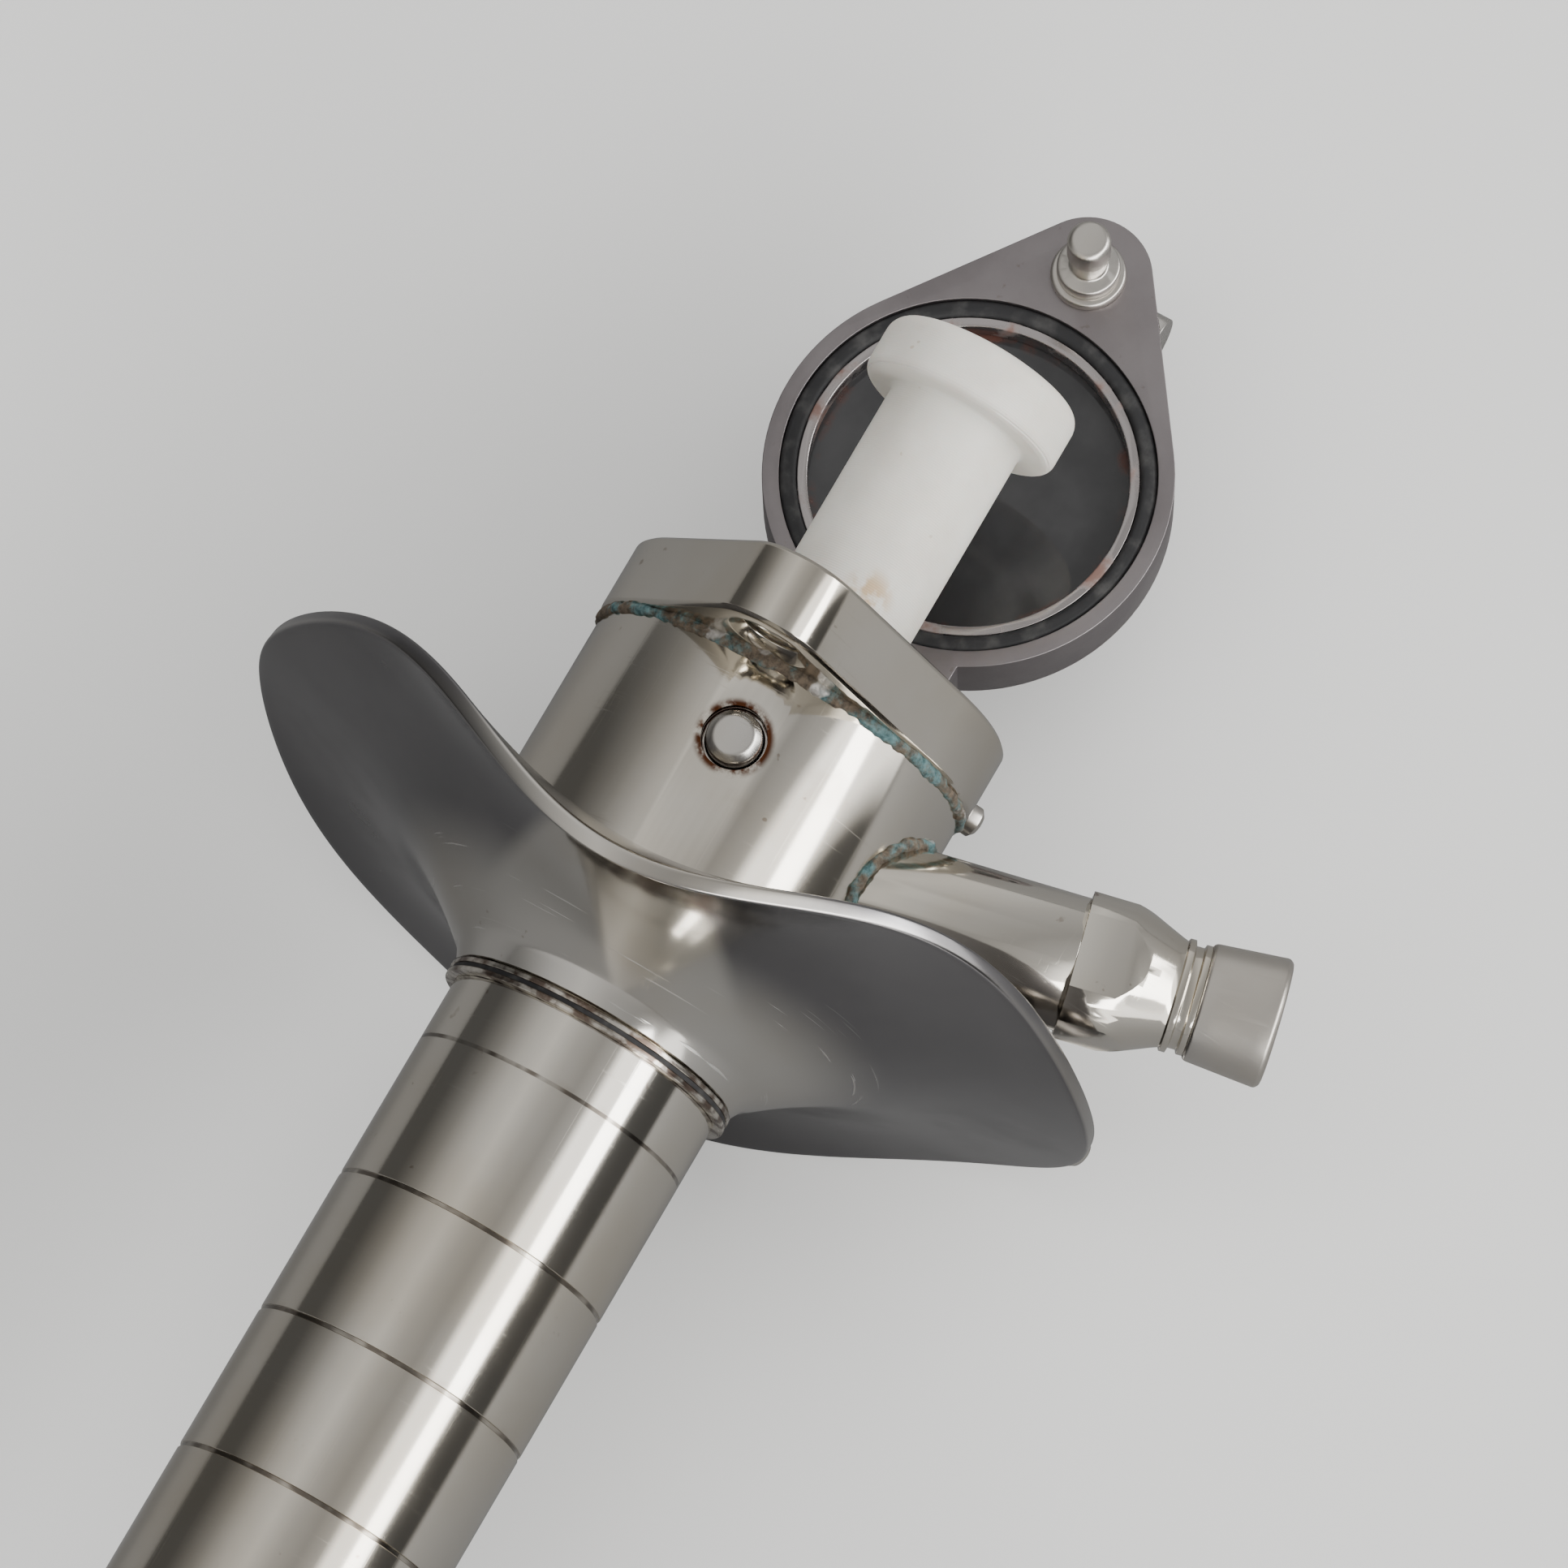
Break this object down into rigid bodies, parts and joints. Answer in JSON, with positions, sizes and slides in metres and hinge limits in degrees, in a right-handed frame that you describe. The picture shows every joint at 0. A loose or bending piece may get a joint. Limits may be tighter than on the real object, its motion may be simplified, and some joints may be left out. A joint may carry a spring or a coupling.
{
  "type": "rigid tubular speculum with window head and obturator",
  "caption": "Polished tube with ring graduations, winged finger plate, hinged glass window head, side light post and a white plastic obturator.",
  "frame": {"origin": "centre of the tube's far mouth", "axes": "+X along the tube towards the head, +Z from the tube's axis towards the latch lug, +Y completes the right-handed frame"},
  "size_m": [0.2863, 0.0694, 0.0622],
  "materials": {
    "polished_nickel": "polished",
    "plate_nickel": "polished",
    "worn_nickel": "satin",
    "satin_frame": "satin",
    "steel": "satin",
    "stained_solder": "matte",
    "black_rubber": "matte",
    "dark_glass": "gloss",
    "white_plastic": "matte"
  },
  "bodies": {
    "head": {"speculum_tube": "polished_nickel", "tube_collar": "polished_nickel", "tube_seal_ring": "black_rubber", "finger_plate": "plate_nickel", "plate_hub": "polished_nickel", "seat_flange": "polished_nickel", "hinge_bracket": "worn_nickel", "hinge_pin": "worn_nickel", "inner_liner": "polished_nickel", "light_ring": "dark_glass", "flange_solder": "stained_solder", "flange_screw": "polished_nickel", "light_post_barrel": "polished_nickel", "post_fitting": "polished_nickel", "post_adaptor": "worn_nickel", "fibre_ferrule": "worn_nickel", "fibre_bundle": "dark_glass", "post_solder": "stained_solder", "nipple_base": "polished_nickel", "gas_nipple": "polished_nickel", "head_sleeve": "polished_nickel", "button_bush": "worn_nickel", "button_spring": "steel"},
    "release": {"release_button": "polished_nickel", "latch_arm": "steel", "latch_plate": "steel"},
    "window": {"window_frame": "satin_frame", "window_gasket": "black_rubber", "retaining_ring": "satin_frame", "window_glass": "dark_glass", "catch_pin_collar": "worn_nickel", "catch_pin": "worn_nickel", "frame_screw": "worn_nickel"},
    "obturator": {"obturator_grip": "white_plastic", "obturator_rod": "steel", "obturator_tip": "white_plastic"}
  },
  "joints": [
    {"name": "window_hinge", "type": "hinge", "parent": "head", "child": "window", "pos_m": [0.23815, 0, -0.0147], "axis": [0, 1, 0], "range_deg": [0, 25]},
    {"name": "obturator_slide", "type": "slide", "parent": "head", "child": "obturator", "axis": [1, 0, 0], "range_m": [0, 0.24]},
    {"name": "button_press", "type": "slide", "parent": "head", "child": "release", "axis": [0, 0, -1], "range_m": [0, 0.0005], "stiffness_N_per_m": 500, "deforming": ["button_spring"]}
  ]
}
